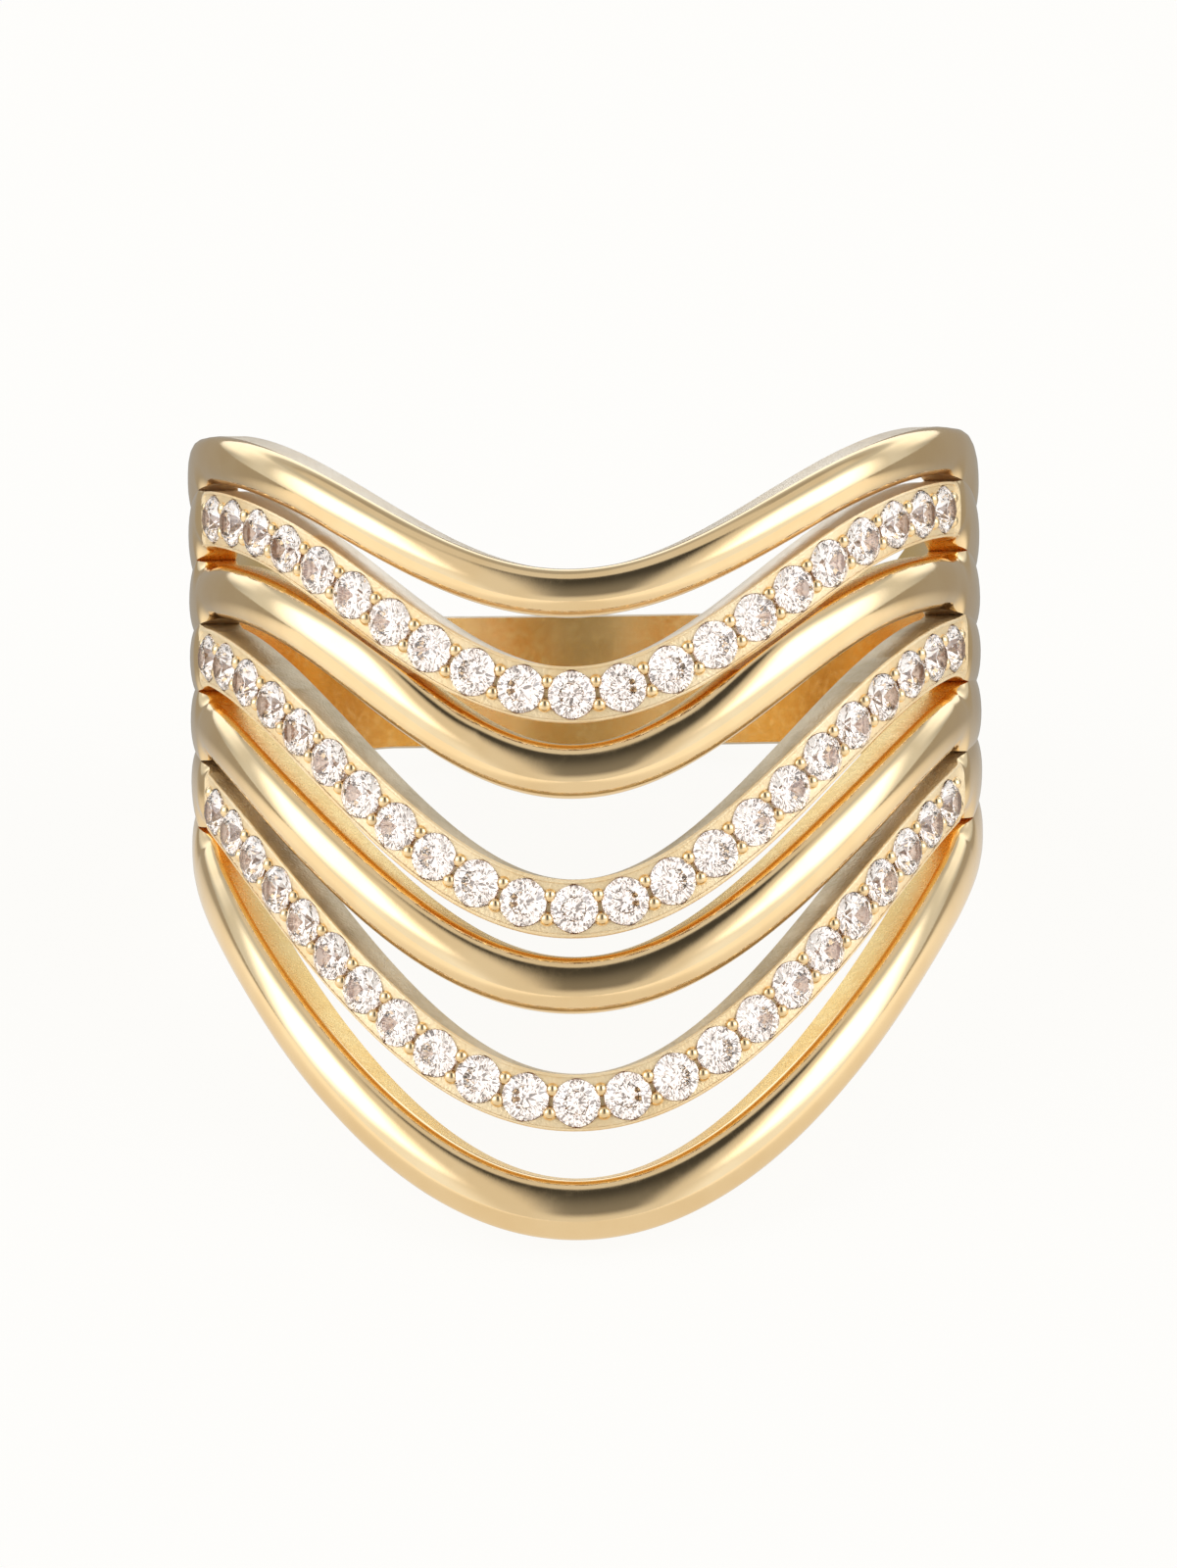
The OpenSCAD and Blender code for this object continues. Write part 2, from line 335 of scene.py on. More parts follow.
# %% [markdown]
# ### Walls and shank
# Under its edges a band has plain walls down to the finger hole, with a small bevel where they meet it.
# Behind the sides the tops of all seven bands sink into one domed shank. The walls keep to the hole.

# %% The place of any point of the casting
CORNER = 0.05          # bevel where a wall meets the finger hole


def wall_point(i, j, edges):
    """Height and radius of a point of the walls and corners of band i."""
    upper = j in (UP_WALL, UP_CORNER)
    gap_number = i - 1 if upper else i
    is_open = 1 if not 0 <= gap_number < len(edges.gaps) else 1 - shut(edges.gaps[gap_number])
    bevel = CORNER * is_open
    z = edges.tops[i] if upper else edges.bottoms[i]
    if j in (UP_WALL, LOW_WALL):
        return z, FINGER_R + bevel
    return z + (-bevel if upper else bevel), FINGER_R


def ring_point(i, j, station):
    """The place of point j of band i's section at a station."""
    a, edges = STATIONS[station], EDGES[station]
    z, r = top_point(i, j, station) if j < TOPS else wall_point(i, j, edges)
    sunk = ease(abs(a), FADE_FROM, FADE_TO)
    share = 2 * (z - edges.bottoms[-1]) / (edges.tops[0] - edges.bottoms[-1]) - 1
    if j < TOPS:
        shank_r = SHANK_EDGE_R + (SHANK_R - SHANK_EDGE_R) * sqrt(max(0, 1 - share * share))
        r = mix(r, shank_r, sunk)
    z = mix(z, middle(a) + share * (SIDE_HALF_W - SHANK_INSET) * draw(a), sunk)
    return on_ring(a, r, z)


back = STATIONS.index(180)
print("at the back the shank reaches from", round(ring_point(len(BANDS) - 1, LOW_WALL, back).z, 2),
      "to", round(ring_point(0, UP_WALL, back).z, 2), "mm")

# %% [markdown]
# ### Finishes of the faces
# One casting shows several finishes. The tops of the plain bands are polished, the rims beside the stones
# are satin, the slots between the bands are as cast, and the hole is bored. Some faces carry painted light
# too:
# a painted amber on the slot walls and at the ends of the bore, a painted highlight on the walls that face
# the tent, painted shade on the ledges, and painted highlight and shade on the seats. Each face gets its
# finish from its own place in the section, while the column still has its numbers.

# %% Which finish a face gets
POLISH, CAST, BORE, RIM, WALL, SEAT, LEDGE = range(7)    # material slots of the casting
RIM_RUN = 2            # degrees that a rim's satin goes on past the last stone


def is_lower_wall(points):
    return points in ({TOPS - 1, LOW_WALL}, {LOW_WALL, LOW_CORNER})


def is_upper_wall(points):
    return points in ({0, UP_WALL}, {UP_WALL, UP_CORNER})


def finish_of(i, points, station):
    """The material slot of a face of band i, from the section points of its corners."""
    band = BANDS[i]
    from_end = ROW_END[band.name] - abs(STATIONS[station]) if band.stones else -180
    in_channel = CHANNEL_EDGE <= min(points) and max(points) <= TOPS - 1 - CHANNEL_EDGE
    # Some slots carry painted light: BORE a painted amber at its ends, SEAT painted highlight and shade, CAST
    # a painted amber, LEDGE painted shade, WALL a painted highlight.
    if points == {LOW_CORNER, UP_CORNER}:
        return BORE
    if from_end > -FRONT_STEP and in_channel:
        return SEAT
    if is_upper_wall(points):
        return CAST if i > 0 and not band.stones else LEDGE if i > 1 else WALL
    if is_lower_wall(points):
        return CAST if band.stones else WALL
    return RIM if from_end > -RIM_RUN else POLISH


def closed_between(gap_number, station):
    """Whether a gap is shut at a station and at the next one."""
    following = (station + 1) % len(STATIONS)
    return EDGES[station].gaps[gap_number] == 0 and EDGES[following].gaps[gap_number] == 0


def is_hidden(i, points, station):
    """Whether a face is a wall between two bands that touch."""
    if is_lower_wall(points):
        return i < len(BANDS) - 1 and closed_between(i, station)
    return is_upper_wall(points) and i > 0 and closed_between(i - 1, station)


print("the lowest gap shuts at", next(a for a, e in zip(STATIONS, EDGES) if e.gaps[-1] == 0), "degrees")

# %% [markdown]
# ### The spin
# The column of section points is a closed loop of edges for each band. `bmesh.ops.spin` sweeps it round
# the Z axis; with use_merge its last station lands on the first. Then the finishes are given, the hidden
# walls go, and every vertex moves to its place.

# %% Spin the column and move every vertex to its place
WELD = 1e-4            # vertices nearer to each other than this become one, mm


def spun_column():
    bm = bmesh.new()
    for i in range(len(BANDS)):
        loop = [bm.verts.new((0, -PATH_R, i * PER_BAND + j)) for j in range(PER_BAND)]
        for j in range(PER_BAND):
            bm.edges.new((loop[j], loop[(j + 1) % PER_BAND]))
    bmesh.ops.spin(
        bm, geom=bm.verts[:] + bm.edges[:], cent=(0, 0, 0), axis=(0, 0, 1), dvec=(0, 0, 0),
        angle=2 * pi, steps=len(STATIONS), use_merge=True, use_normal_flip=False, use_duplicate=False,
    )
    return bm


def column_place(co):
    """Band, point and station that a vertex of the spun column stands for."""
    number = round(co.z)
    station = round(atan2(co.x, -co.y) / (2 * pi) * len(STATIONS)) % len(STATIONS)
    return number // PER_BAND, number % PER_BAND, station


def delete_loose_edges(bm):
    bmesh.ops.delete(bm, geom=[e for e in bm.edges if not e.link_faces], context="EDGES")


def make_casting():
    bm = spun_column()
    places = {v: column_place(v.co) for v in bm.verts}
    hidden = []
    for face in bm.faces:
        bands, points, stations = (set(numbers) for numbers in zip(*(places[v] for v in face.verts)))
        i = min(bands)
        last_to_first = max(stations) - min(stations) > 1
        station = max(stations) if last_to_first else min(stations)
        face.material_index = finish_of(i, points, station)
        if is_hidden(i, points, station):
            hidden.append(face)
    bmesh.ops.delete(bm, geom=hidden, context="FACES_ONLY")
    for v, (i, j, station) in places.items():
        v.co = ring_point(i, j, station)
    bmesh.ops.remove_doubles(bm, verts=bm.verts[:], dist=WELD)
    bmesh.ops.dissolve_degenerate(bm, edges=bm.edges[:], dist=WELD)
    delete_loose_edges(bm)
    bmesh.ops.recalc_face_normals(bm, faces=bm.faces[:])
    return bm


casting = make_casting()
print("the casting has", len(casting.faces), "faces")

# %% [markdown]
# ## Islands and beads between the stones
# The rows are pave set: the strip is drilled with a round seat for each stone, which leaves a small
# hourglass island between two neighbours, and from each island two beads are raised that hold four stones
# down. An island starts as a grid, whose vertices are drawn in beside the seats, and is extruded down to
# the bottom of the channel. A bead is a small sphere. Both are made flat, once, and each copy is bent
# round the ring along its band.

# %% One island with its two beads, flat
SEAT_R = STONE_D / 2 + 0.012
ISLAND_TOP = SET_R - 0.035
ISLAND_FOOT = CHANNEL_R - 0.02
ISLAND_DIP = 0.11              # how far the waist of an island lies under its ends
WAIST_TO, ENDS_FROM = 0.1, 0.5     # distances from the band's centre line between which it rises
ISLAND_REACH = CHANNEL_W / 2 + 0.02
BEAD_R = 0.188
BEAD_AT = 0.29                 # from the band's centre line
BEAD_TOP = SET_R + 0.1
BEAD_FINISH = 1                # material slot of the beads; the islands have the first one, 0


def make_island():
    """A flat island: X along the band, Y across it, Z the radius."""
    bm = bmesh.new()
    bmesh.ops.create_grid(bm, x_segments=4, y_segments=18, size=1)
    for v in bm.verts:
        side, d = v.co.x, v.co.y * ISLAND_REACH
        seat = sqrt(max(0, SEAT_R**2 - d * d))
        v.co.x = side * (STONE_PITCH / 2 - seat)
        v.co.y = d
        v.co.z = ISLAND_TOP - ISLAND_DIP * (1 - ease(abs(d), WAIST_TO, ENDS_FROM))
    made = bmesh.ops.extrude_face_region(bm, geom=bm.faces[:], use_keep_orig=True)
    for v in (g for g in made["geom"] if isinstance(g, bmesh.types.BMVert)):
        v.co.z = ISLAND_FOOT
    bmesh.ops.recalc_face_normals(bm, faces=bm.faces[:])
    for side in (-1, 1):
        at = Matrix.Translation((0, side * BEAD_AT, BEAD_TOP - BEAD_R))
        made = bmesh.ops.create_uvsphere(bm, u_segments=16, v_segments=10, radius=BEAD_R, matrix=at)
        for face in {f for v in made["verts"] for f in v.link_faces}:
            face.material_index = BEAD_FINISH
    return bm


print("an island is", round(STONE_PITCH - 2 * SEAT_R, 3), "mm wide at its waist")

# %% Copies of it along a row


def repeat(one, numbers, put):
    """A bmesh with a copy of a small one for each number, each moved to its place by put."""
    mesh = bpy.data.meshes.new("one_of_many")
    one.to_mesh(mesh)
    one.free()
    bm = bmesh.new()
    for number in numbers:
        before = len(bm.verts)
        bm.from_mesh(mesh)
        bm.verts.ensure_lookup_table()
        put(bm, number, bm.verts[before:])
    bpy.data.meshes.remove(mesh)
    return bm


def make_islands(band):
    def bend(bm, number, verts):
        for v in verts:
            s = (number + 0.5) * STONE_PITCH + v.co.x
            v.co = across(band, angle_at(band, s), v.co.y, v.co.z)

    bm = repeat(make_island(), range(-band.stones - 1, band.stones + 1), bend)
    bmesh.ops.recalc_face_normals(bm, faces=bm.faces[:])
    return bm


print("a row of", 2 * BANDS[1].stones + 1, "stones has", 2 * BANDS[1].stones + 2, "islands")

# %% [markdown]
# ## The stones
# A round brilliant has an eight-sided table, eight stars, eight kites and sixteen upper girdle facets on
# its crown, and sixteen lower girdle facets and eight mains under the girdle. Every corner of these lies on
# one of a few circles, so circles of vertices and their convex hull give a cut much like it.

# %% One round brilliant
TABLE_SHARE = 0.57
STAR_SHARE = 0.80              # radius of the corners between stars and kites
STAR_HEIGHT = 0.60             # their height, as a share of the crown
LOWER_SHARE = 0.22             # how near the culet the lower girdle facets reach
LOWER_BULGE = 1.03             # how far their ends stand out of a plain cone
GIRDLE_SIDES = 32
FLAT_WITHIN = 0.5              # faces that lie this close to one plane are one facet, degrees


def make_brilliant():
    bm = bmesh.new()
    r = STONE_D / 2

    def circle(sides, radius, z, turn):
        at = Matrix.Translation((0, 0, z)) @ Matrix.Rotation(turn, 4, "Z")
        bmesh.ops.create_circle(bm, cap_ends=False, segments=sides, radius=radius, matrix=at)

    half_side = pi / 8
    lower_z = -(PAVILION_H - GIRDLE_H) * (1 - LOWER_SHARE) * LOWER_BULGE
    circle(8, r * TABLE_SHARE, GIRDLE_H + CROWN_H, 0)
    circle(8, r * STAR_SHARE, GIRDLE_H + CROWN_H * STAR_HEIGHT, half_side)
    circle(GIRDLE_SIDES, r, GIRDLE_H, 0)
    circle(GIRDLE_SIDES, r, 0, 0)
    circle(8, r * LOWER_SHARE, lower_z, half_side)
    bm.verts.new((0, 0, GIRDLE_H - PAVILION_H))
    hull = bmesh.ops.convex_hull(bm, input=bm.verts[:], use_existing_faces=False)
    inside = [g for g in hull["geom_interior"] if isinstance(g, bmesh.types.BMVert)]
    bmesh.ops.delete(bm, geom=inside, context="VERTS")
    delete_loose_edges(bm)
    bmesh.ops.dissolve_limit(bm, angle_limit=radians(FLAT_WITHIN), verts=bm.verts[:], edges=bm.edges[:])
    bmesh.ops.recalc_face_normals(bm, faces=bm.faces[:])
    print("a brilliant has", len(bm.faces), "faces, its girdle's among them")
    return bm


# %% [markdown]
# No two neighbours sparkle alike in the photograph, because a setter doesn't line the facets up. Each stone
# is turned in its seat by a fixed angle more than the last, so nothing has to be drawn at random.

# %% A row of stones
STONE_TURN = 17    # degrees


def on_band(band, s, r):
    """Matrix to a place on a band: X along the band, Z outwards."""
    a = angle_at(band, s) if s else 0
    return (
        Matrix.Rotation(radians(a), 4, "Z")
        @ Matrix.Translation((0, -r, wave(band, a)))
        @ Matrix.Rotation(radians(90), 4, "X")
        @ Matrix.Rotation(slope(band, a), 4, "Z")
    )


def make_stones(band):
    def seat(bm, number, verts):
        turn = Matrix.Rotation(radians(STONE_TURN * number), 4, "Z")
        place = on_band(band, number * STONE_PITCH, GIRDLE_R) @ turn
        bmesh.ops.transform(bm, matrix=place, verts=verts)

    return repeat(make_brilliant(), range(-band.stones, band.stones + 1), seat)


print("stones in the three rows:", [2 * band.stones + 1 for band in BANDS if band.stones])

# %% [markdown]
# ## Finishes
# Shader maths is written as Python: `Wire` wraps a socket and turns + - * into Math nodes, and
# `Shader.node` makes any other node from its type, its settings and the values of its sockets.

# %% A small language for shader nodes


class Wire:
    def __init__(self, shader, socket):
        self.shader, self.socket = shader, socket

    def math(self, operation, *others):
        return self.shader.node("ShaderNodeMath", {"operation": operation}, self, *others)

    def __add__(self, other):
        return self.math("ADD", other)

    def __mul__(self, other):
        return self.math("MULTIPLY", other)

    def __sub__(self, other):
        return self.math("SUBTRACT", other)

    def __rsub__(self, other):
        return (self * -1) + other

    __radd__, __rmul__ = __add__, __mul__

    def smooth(self, start, end):
        """0 below start, 1 above end, or the other way round where start is the larger."""
        low, high, to_low, to_high = (start, end, 0, 1) if start < end else (end, start, 1, 0)
        return self.shader.node(
            "ShaderNodeMapRange", {"interpolation_type": "SMOOTHSTEP"}, self, low, high, to_low, to_high
        )


class Shader:
    """A node tree, of a material or of the world."""

    def __init__(self, owner):
        owner.use_nodes = True
        self.owner, self.tree = owner, owner.node_tree
        self.tree.nodes.clear()

    def node(self, kind, settings=None, *values, output=0, **named):
        made = self.tree.nodes.new(kind)
        for name, value in (settings or {}).items():
            setattr(made, name, value)
        for key, value in list(enumerate(values)) + list(named.items()):
            socket = made.inputs[key if isinstance(key, int) else key.replace("_", " ")]
            if isinstance(value, Wire):
                self.tree.links.new(value.socket, socket)
            elif value is not None:
                socket.default_value = value
        return Wire(self, made.outputs[output]) if len(made.outputs) else None

    def colours(self, share, first, second):
        return self.node("ShaderNodeMix", {"data_type": "RGBA"}, share, None, None, None, None, None,
                         first, second, output=2)


def material(name):
    return Shader(bpy.data.materials.new(name))


print("nodes are made for Blender", bpy.app.version_string)

# %% [markdown]
# ### Gold
# The plating is a pale yellow gold. It is nearly a mirror, so most of what it shows is its surroundings.
# What a finish itself adds is slight: patches of a deeper tone, streaks that are a little less bright, and
# a grain that is fine on polished gold and coarse on cast and satin gold. The satin rims are partly matt,
# which keeps them light beside the stones.
#
# The inner side of the shank shows through the upper openings. Its middle mirrors the tent in front of the
# ring, while both its ends mirror the backs of the bands; there its colour goes over to amber, a painted
# reflection.

# %% A gold of one finish
PALE_GOLD = (0.93, 0.70, 0.40, 1)
DEEP_GOLD = (0.90, 0.66, 0.36, 1)
STREAK_SCALE, STREAK_FROM, STREAK_TO = 5200.0, 0.4, 0.75
# painted reflection: beyond these places the bore's colour is painted amber
PAINTED_AMBER_RIGHT = 0.0025, 0.007        # metres to the right between which the amber comes in
PAINTED_AMBER_LEFT = -0.0078, -0.0086


def gold(name, roughness, rough_range, bump, grain_scale, grain_depth, pale=PALE_GOLD, deep=DEEP_GOLD,
         patch_scale=700.0, patch_from=0.35, patch_to=0.7, painted_amber=None, metal=1.0):
    s = material(name)
    where = s.node("ShaderNodeTexCoord", output="Object")
    patches = s.node("ShaderNodeTexNoise", None, where, Scale=patch_scale, Detail=3.0)
    streaks = s.node("ShaderNodeTexNoise", None, where, Scale=STREAK_SCALE, Detail=2.0)
    grain = s.node("ShaderNodeTexNoise", None, where, Scale=grain_scale, Detail=4.0)
    colour = s.colours(patches.smooth(patch_from, patch_to), pale, deep)
    # painted reflection: amber painted into the colour towards both ends of the bore
    if painted_amber:
        rightwards = s.node("ShaderNodeSeparateXYZ", None, where)
        share = rightwards.smooth(*PAINTED_AMBER_RIGHT) + rightwards.smooth(*PAINTED_AMBER_LEFT)
        colour = s.colours(share, colour, painted_amber)
    height = patches * bump + grain * grain_depth
    normal = s.node("ShaderNodeBump", None, Strength=1.0, Distance=0.001, Height=height)
    shader = s.node(
        "ShaderNodeBsdfPrincipled", None, Base_Color=colour, Metallic=metal,
        Roughness=roughness + streaks.smooth(STREAK_FROM, STREAK_TO) * rough_range, Normal=normal,
    )
    s.node("ShaderNodeOutputMaterial", None, shader)
    return s.owner


POLISHED = gold("polished_gold", 0.07, 0.05, 0.004, 30000.0, 0.0006)
# painted amber: the slot walls get a deeper, more orange gold than the polished tops, standing in for the
# light mirrored to and fro in the slots; their grain and roughness are the real cast finish
CAST_GOLD_PAINTED_AMBER = gold("cast_gold", 0.25, 0.12, 0.004, 26000.0, 0.012,
                 pale=(0.93, 0.68, 0.29, 1), deep=(0.91, 0.62, 0.23, 1))
BORED_GOLD_PAINTED_AMBER = gold("bored_gold", 0.16, 0.1, 0.002, 30000.0, 0.0015,
             pale=(0.95, 0.75, 0.39, 1), deep=(0.85, 0.63, 0.28, 1), painted_amber=(0.92, 0.66, 0.27, 1))
SATIN = gold("satin_gold", 0.4, 0.15, 0.004, 13000.0, 0.024,
             pale=(1.0, 0.80, 0.50, 1), deep=(0.97, 0.72, 0.39, 1), metal=0.55)
print("finishes:", [made.name for made in (POLISHED, CAST_GOLD_PAINTED_AMBER, BORED_GOLD_PAINTED_AMBER, SATIN)])

# %% [markdown]
# Three more golds are for narrow faces. The upper walls of the top two bands and the lower walls of the
# plain ones look into the bright tent, and their near-white colour is a painted highlight. The ledges, which
# are the upper walls of the lower two rows, are granular, and their much darker colour is painted shade
# from the band above. The seats under the stones are pale with dark strokes, a painted highlight and painted
# shade, which show in the photograph as brown lines between stone and rim.

# %% Gold of the walls, ledges and seats, with painted highlight and shade
# painted highlight: a near-white gold for the walls that look into the bright tent
WALL_GOLD_PAINTED_HIGHLIGHT = gold("wall_gold", 0.3, 0.12, 0.004, 26000.0, 0.012,
                 pale=(0.93, 0.81, 0.64, 1), deep=(0.89, 0.75, 0.56, 1))
# painted shade: the ledges lie under the band above, and their darker colour stands in for its shadow; the
# coarse grain is real
LEDGE_GOLD_PAINTED_SHADE = gold("ledge_gold", 0.36, 0.14, 0.004, 14000.0, 0.03,
                  pale=(0.66, 0.54, 0.36, 1), deep=(0.50, 0.40, 0.25, 1))
# painted highlight and shade: a near-white gold broken by sharp dark brown strokes, seen through the stones
SEAT_GOLD_PAINTED_LIGHT_AND_SHADE = gold("seat_gold", 0.25, 0.1, 0.004, 26000.0, 0.012,
                 pale=(1.0, 0.87, 0.75, 1), deep=(0.40, 0.20, 0.09, 1),
                 patch_scale=9000.0, patch_from=0.5, patch_to=0.56)
print("finishes:", [made.name for made in (WALL_GOLD_PAINTED_HIGHLIGHT, LEDGE_GOLD_PAINTED_SHADE, SEAT_GOLD_PAINTED_LIGHT_AND_SHADE)])

# %% [markdown]
# ### Stones
# Cubic zirconia bends light nearly as much as diamond, so its index is 2.16. It is clear, with a breath of
# rose in the photograph, which comes from the gold round it and is set as the glass's own tone here.

# %% The clear stones


def clear_stone():
    s = material("cubic_zirconia")
    shader = s.node(
        "ShaderNodeBsdfPrincipled", None, Base_Color=(1.0, 0.945, 0.91, 1), Roughness=0.0,
        IOR=2.16, Transmission_Weight=1.0, Specular_Tint=(1.0, 0.92, 0.86, 1),
    )
    s.node("ShaderNodeOutputMaterial", None, shader)
    return s.owner


CLEAR = clear_stone()
print("finish:", CLEAR.name)

# %% [markdown]
# ## The pieces
# A finished bmesh becomes an object here. Its place goes into its mesh, and its object stays at the
# origin. Edges sharper than an angle are marked, so smooth shading stops at them: a wide angle for the
# metal, and almost none for the stones, whose facets are all flat.
#
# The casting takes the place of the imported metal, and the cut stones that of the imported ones. The islands
# and beads are added to the metal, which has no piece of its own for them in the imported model.

# %% From a bmesh to a piece of the ring
METAL_CREASE, STONE_CREASE = 35, 2      # degrees


def piece(bm, name, materials, sharp=METAL_CREASE, stands_for=()):
    bm.transform(LIE_DOWN)
    mesh = bpy.data.meshes.new(name)
    bm.to_mesh(mesh)
    open_edges = sum(1 for e in bm.edges if len(e.link_faces) != 2)
    bm.free()
    mesh.shade_smooth()
    mesh.set_sharp_from_angle(angle=radians(sharp))
    for finish in materials:
        mesh.materials.append(finish)
    obj = bpy.data.objects.new(name, mesh)
    bpy.context.scene.collection.objects.link(obj)
    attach(obj, "root")
    if stands_for:
        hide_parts(*stands_for)
    triangles = sum(len(p.vertices) - 2 for p in mesh.polygons)
    print(f"{name}: {triangles} triangles, {open_edges} edges without two faces")


# %% Put the pieces in the scene
ROWS = {"upper_set": "stones_upper", "middle_set": "stones_middle", "lower_set": "stones_lower"}
CASTING_FINISHES = [POLISHED, CAST_GOLD_PAINTED_AMBER, BORED_GOLD_PAINTED_AMBER, SATIN, WALL_GOLD_PAINTED_HIGHLIGHT, SEAT_GOLD_PAINTED_LIGHT_AND_SHADE, LEDGE_GOLD_PAINTED_SHADE]
piece(casting, "gold_casting", CASTING_FINISHES, stands_for=["ring_metal"])
for band in BANDS:
    if band.stones:
        piece(make_islands(band), "beads_" + band.name, [SATIN, POLISHED])
        row = ROWS[band.name]
        piece(make_stones(band), "cut_" + row, [CLEAR], sharp=STONE_CREASE, stands_for=[row])

# %% [markdown]
# ## Camera
# The photograph looks square on the finger hole's axis from the front. The resting ring leans back, so the
# camera leans with it, and looks down at the ring from in front. It stands a quarter of a metre away with a
# long lens, two degrees round to the right and with a roll of less than one, as the photograph shows.

# %% Camera
VIEW_DISTANCE = 250            # mm from the finger hole's axis
FRAME_H = 40.4                 # height of the picture at the axis, mm
AIM_Z = -3.41                  # height on the axis that the camera aims at
AIM_X = 0.04                   # how far to the right of the axis it aims, mm
VIEW_TURN = 2.0                # how far round to the right the camera stands, degrees
VIEW_ROLL = 0.7
SENSOR = 36

camera_data = bpy.data.cameras.new("camera")
camera_data.sensor_width = SENSOR
camera_data.lens = SENSOR * VIEW_DISTANCE / FRAME_H
camera_data.clip_start, camera_data.clip_end = 0.01, 10
camera = bpy.data.objects.new("camera", camera_data)
bpy.context.scene.collection.objects.link(camera)
stand = (
    LIE_DOWN
    @ Matrix.Translation((0, 0, AIM_Z))
    @ Matrix.Rotation(radians(VIEW_TURN), 4, "Z")
    @ Matrix.Translation((AIM_X, -VIEW_DISTANCE, 0))
    @ Matrix.Rotation(radians(90), 4, "X")
    @ Matrix.Rotation(radians(-VIEW_ROLL), 4, "Z")
)
camera.matrix_world = Matrix.LocRotScale(stand.to_translation(), stand.to_quaternion(), None)
bpy.context.scene.camera = camera
print("camera height over the floor:", round(camera.location.z * 1000), "mm")

# %% [markdown]
# ## Floor
# The photograph's ground is white with hardly a shadow. The floor is a pale plane that glows almost as
# bright as it is seen, so only a trace of shadow is left. What the ring mirrors of it is set apart: a table
# that is brightest beside the ring and dim behind it, like one with a white card on each side. Without
# that, the ring's outer edges would melt into the ground.

# %% Floor
FLOOR_SIZE = 3.0
FLOOR_PAINT = (0.93, 0.92, 0.90, 1)
FLOOR_LIGHT = (1.0, 0.99, 0.965, 1)
LIT_SHARE = 0.93                      # the rest of the floor takes the ring's shadow
TABLE_NEAR = (0.84, 0.81, 0.76, 1)    # light that the table gives the ring from in front of it
TABLE_SIDE = (1.12, 1.10, 1.06, 1)    # from beside it
TABLE_FAR = (0.39, 0.375, 0.35, 1)    # and from behind it
SIDE_FROM, SIDE_TO = 0.006, 0.03      # distances to the side between which it brightens, m
FAR_FROM, FAR_TO = 0.0, 0.014         # and backwards between which it gets dim


def pale_floor():
    s = material("pale_floor")
    seen = s.node("ShaderNodeLightPath", output="Is Camera Ray")
    shaded = s.node("ShaderNodeBsdfDiffuse", None, FLOOR_PAINT)
    lit = s.node("ShaderNodeEmission", None, FLOOR_LIGHT, 1.0)
    where = s.node("ShaderNodeTexCoord", output="Object")
    sideways = s.node("ShaderNodeSeparateXYZ", None, where, output="X").math("ABSOLUTE")
    backwards = s.node("ShaderNodeSeparateXYZ", None, where, output="Y")
    table = s.colours(sideways.smooth(SIDE_FROM, SIDE_TO), TABLE_NEAR, TABLE_SIDE)
    table = s.colours(backwards.smooth(FAR_FROM, FAR_TO), table, TABLE_FAR)
    glow = s.node("ShaderNodeEmission", None, table, 1.0)
    photographed = s.node("ShaderNodeMixShader", None, LIT_SHARE, shaded, lit)
    shader = s.node("ShaderNodeMixShader", None, seen, glow, photographed)
    s.node("ShaderNodeOutputMaterial", None, shader)
    return s.owner


def make_floor():
    bm = bmesh.new()
    bmesh.ops.create_grid(bm, x_segments=1, y_segments=1, size=FLOOR_SIZE / 2)
    mesh = bpy.data.meshes.new("floor")
    bm.to_mesh(mesh)
    bm.free()
    mesh.materials.append(pale_floor())
    floor = bpy.data.objects.new("floor", mesh)
    bpy.context.scene.collection.objects.link(floor)


make_floor()
print("the floor is", FLOOR_SIZE, "m wide")

# %% [markdown]
# ## Light
# The light is a white tent round the ring, with a dark opening for the camera. It is drawn in the world
# shader, by the direction that a ray leaves in: how high it goes, and how far round from the front.
#
# - The dark opening gives the middle of each plain band its dark stripe. It is a little off the middle, as
#   the stripes are.
# - A bright strip on each side of the tent gives the flanks their pale highlights.
# - The tent is dim behind the ring, apart from a bright part higher up, which the upper walls of the bands
#   mirror.
# - A dim seam where the walls meet the roof draws a thin line along the crowns.
# - A ray that has passed through a stone sees a bright tent with dark strokes. These give the small facets
#   their sparkle, which in the photograph comes from many lamps.

# %% Brightness of the tent, and the angles between which each part comes in, in degrees
FRONT, TOP, SEAM = 0.78, 0.72, 0.6
SIDES, STRIP = 1.08, 2.5
BEHIND, BACK_TOP = 0.42, 1.45
OPENING, OPENING_TOP = 0.24, 0.06
OPENING_TURN = 5                           # how far round to the right the opening is
INSIDE_STONE, STROKE = 1.9, 0.22
STROKE_SCALE, STROKE_FROM, STROKE_TO = 13.0, 0.49, 0.57
SEAM_SHARE, STONE_SHARE = 0.8, 0.75
WARM, COOL = (1.0, 0.985, 0.96, 1), (0.92, 0.985, 1.08, 1)
ROSE = (1.0, 0.92, 0.87, 1)                # tone of the light within the stones
DEGREES = 180 / pi
TO_CAMERA = (0, -cos(LEAN), sin(LEAN))
UP = (0, sin(LEAN), cos(LEAN))
print("the strips are", round(STRIP / OPENING), "times as bright as the opening")

# %% The light tent


def between(first, second, share):
    return first + (second - first) * share


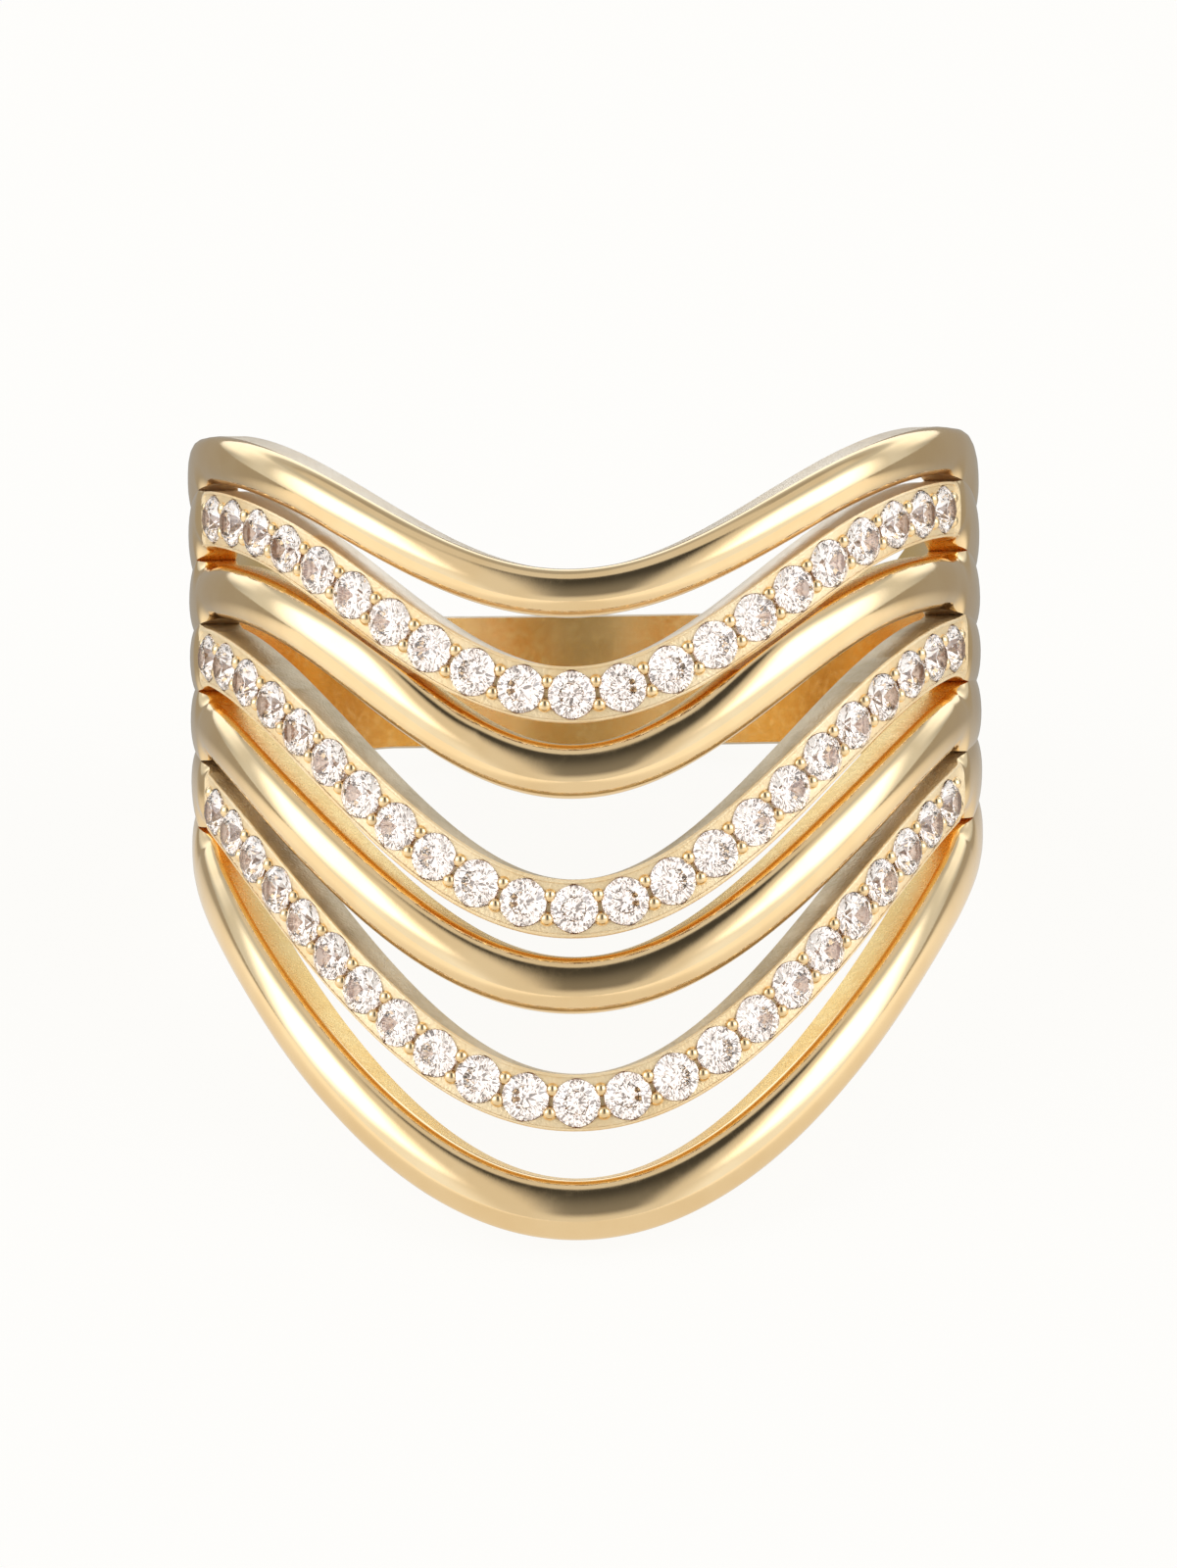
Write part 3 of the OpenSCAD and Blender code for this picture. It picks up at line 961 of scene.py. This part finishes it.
def tent_wall(azimuth, rise):
    """Brightness of the tent's walls and roof, with its opening."""
    round_about = azimuth.math("ABSOLUTE")
    beside = round_about.smooth(27, 46) * round_about.smooth(100, 74)
    strip = rise.smooth(-4, 10) * rise.smooth(50, 36)
    side_light = between(TOP, between(SIDES, STRIP, strip), rise.smooth(70, 54))
    back_light = between(BEHIND, BACK_TOP, rise.smooth(20, 34) * rise.smooth(62, 46))
    wall = between(between(FRONT, side_light, beside), back_light, round_about.smooth(100, 136))
    roof = between(TOP, BEHIND, round_about.smooth(120, 160))
    light = between(wall, roof, rise.smooth(64, 72))
    seam = rise.smooth(50, 56) * rise.smooth(68, 62)
    light = between(light, SEAM, seam * SEAM_SHARE)
    from_opening = (azimuth - OPENING_TURN).math("ABSOLUTE")
    opening = from_opening.smooth(23, 9) * rise.smooth(-26, -8) * rise.smooth(68, 58)
    return between(light, between(OPENING, OPENING_TOP, rise.smooth(-8, 50)), opening)


def make_tent():
    world = bpy.data.worlds.new("tent")
    bpy.context.scene.world = world
    s = Shader(world)
    where = s.node("ShaderNodeTexCoord", output="Generated")

    def along(direction):
        return s.node("ShaderNodeVectorMath", {"operation": "DOT_PRODUCT"}, where, direction, output=1)

    azimuth = along((1, 0, 0)).math("ARCTAN2", along(TO_CAMERA)) * DEGREES
    rise = along(UP).math("ARCSINE") * DEGREES
    light = tent_wall(azimuth, rise)
    through_stone = s.node("ShaderNodeLightPath", output="Transmission Depth").smooth(0.4, 0.6)
    strokes = s.node("ShaderNodeTexNoise", None, where, Scale=STROKE_SCALE, Detail=2.0)
    sparkle = between(INSIDE_STONE, STROKE, strokes.smooth(STROKE_FROM, STROKE_TO))
    light = between(light, sparkle, through_stone * STONE_SHARE)
    seen = s.node("ShaderNodeLightPath", output="Is Camera Ray")
    cool = azimuth.math("ABSOLUTE").smooth(25, 50) * rise.smooth(70, 55)
    tint = s.colours(cool, WARM, COOL)
    tint = s.colours(through_stone, tint, ROSE)
    tint = s.colours(seen, tint, WARM)
    background = s.node("ShaderNodeBackground", None, tint, between(light, 1.0, seen))
    s.node("ShaderNodeOutputWorld", None, background)
    return len(s.tree.nodes)


print("the tent is drawn with", make_tent(), "nodes")

# %% [markdown]
# Light goes to and fro in the slots between two polished bands, so a ray may be mirrored a dozen times.
# With the usual four, the slots turn black. The view is the standard one, which keeps white white.

# %% Mirroring and view
bpy.context.scene.cycles.glossy_bounces = 12
bpy.context.scene.view_settings.view_transform = "Standard"
print("mirrorings:", bpy.context.scene.cycles.glossy_bounces)
